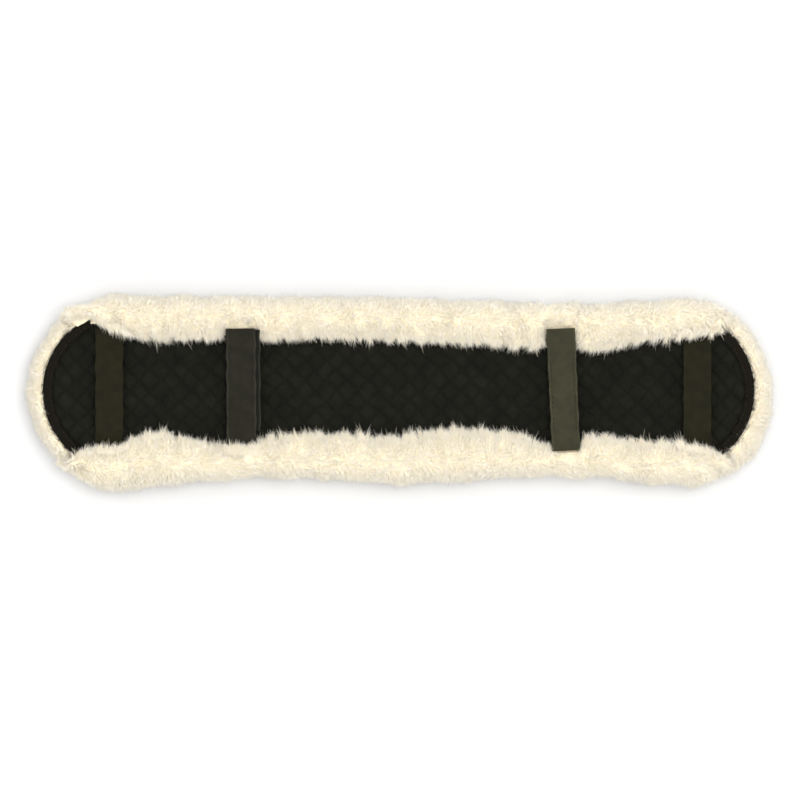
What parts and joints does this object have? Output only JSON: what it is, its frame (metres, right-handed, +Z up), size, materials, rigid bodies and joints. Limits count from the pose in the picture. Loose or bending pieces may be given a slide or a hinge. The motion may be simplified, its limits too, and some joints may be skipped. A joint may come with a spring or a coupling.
{
  "type": "sheepskin girth cover",
  "caption": "Long padded sheepskin sleeve with rounded ends, rolled wool edges, a quilted face, elastic end loops and hook-and-loop straps that hold a saddle girth.",
  "frame": {"origin": "middle of the underside, on the surface that the wool side rests on", "axes": "+Z up, from the wool side to the quilted face; +X along the cover towards its right end; +Y across it towards the rear roll"},
  "size_m": [0.674, 0.172, 0.0521],
  "materials": {
    "sheepskin_wool": "cream sheared sheepskin wool, about 24 mm pile, matt",
    "sheepskin_hide": "pale tanned skin, suede inside",
    "felt": "grey needled felt",
    "quilted_cotton": "black cotton twill, diamond quilted",
    "lining_cotton": "thin black cotton",
    "wadding": "white polyester wadding",
    "thread": "dark polyester sewing thread",
    "binding_tape": "very dark brown woven binding",
    "elastic_tape": "dark woven elastic, fine ribs",
    "strap_tape": "smooth dark grey woven back of hook and loop tape, slight sheen",
    "hook_side": "moulded nylon hooks on woven tape",
    "loop_side": "brushed nylon loop pile"
  },
  "bodies": {
    "cover": {"underside_fleece": "sheepskin_wool", "hide_panel": "sheepskin_hide", "felt_pad": "felt", "quilt_lining": "lining_cotton", "quilt_wadding": "wadding", "quilt_cover": "quilted_cotton", "quilting_thread_rising": "thread", "quilting_thread_falling": "thread", "rear_roll_hide": "sheepskin_hide", "front_roll_hide": "sheepskin_hide", "rear_roll_fleece": "sheepskin_wool", "front_roll_fleece": "sheepskin_wool", "rear_seam_stitches": "thread", "front_seam_stitches": "thread", "left_end_binding": "binding_tape", "right_end_binding": "binding_tape", "left_binding_stitches": "thread", "right_binding_stitches": "thread", "left_hook_strap_root": "strap_tape", "left_loop_strap_root": "strap_tape", "right_hook_strap_root": "strap_tape", "right_loop_strap_root": "strap_tape"},
    "left_hook_leaf": {"left_hook_strap": "strap_tape", "left_hook_tape": "hook_side", "left_hook_strap_stitches": "thread"},
    "left_loop_leaf": {"left_loop_strap": "strap_tape", "left_loop_tape": "loop_side"},
    "left_elastic_loop": {"left_end_elastic": "elastic_tape"},
    "right_hook_leaf": {"right_hook_strap": "strap_tape", "right_hook_tape": "hook_side", "right_hook_strap_stitches": "thread"},
    "right_loop_leaf": {"right_loop_strap": "strap_tape", "right_loop_tape": "loop_side"},
    "right_elastic_loop": {"right_end_elastic": "elastic_tape"}
  },
  "joints": [
    {"name": "left_hook_fold", "type": "hinge", "parent": "cover", "child": "left_hook_leaf", "pos_m": [-0.14164, -0.052, 0.0436], "axis": [1, 0.007, 0], "range_deg": [0, 130]},
    {"name": "left_loop_fold", "type": "hinge", "parent": "cover", "child": "left_loop_leaf", "pos_m": [-0.14236, 0.052, 0.0428], "axis": [1, 0.007, 0], "range_deg": [-112, 0]},
    {"name": "left_elastic_stretch", "type": "slide", "parent": "cover", "child": "left_elastic_loop", "axis": [0, 0, 1], "range_m": [0, 0.006], "stiffness_N_per_m": 150},
    {"name": "right_hook_fold", "type": "hinge", "parent": "cover", "child": "right_hook_leaf", "pos_m": [0.15036, -0.05195, 0.0436], "axis": [0.999, 0.0454, 0], "range_deg": [0, 130]},
    {"name": "right_loop_fold", "type": "hinge", "parent": "cover", "child": "right_loop_leaf", "pos_m": [0.14564, 0.05195, 0.0428], "axis": [0.999, 0.0454, 0], "range_deg": [-112, 0]},
    {"name": "right_elastic_stretch", "type": "slide", "parent": "cover", "child": "right_elastic_loop", "axis": [0, 0, 1], "range_m": [0, 0.006], "stiffness_N_per_m": 150}
  ],
  "couplings": [
    {"joint": "left_loop_fold", "follows": "left_hook_fold", "ratio": -0.85},
    {"joint": "right_loop_fold", "follows": "right_hook_fold", "ratio": -0.85}
  ]
}
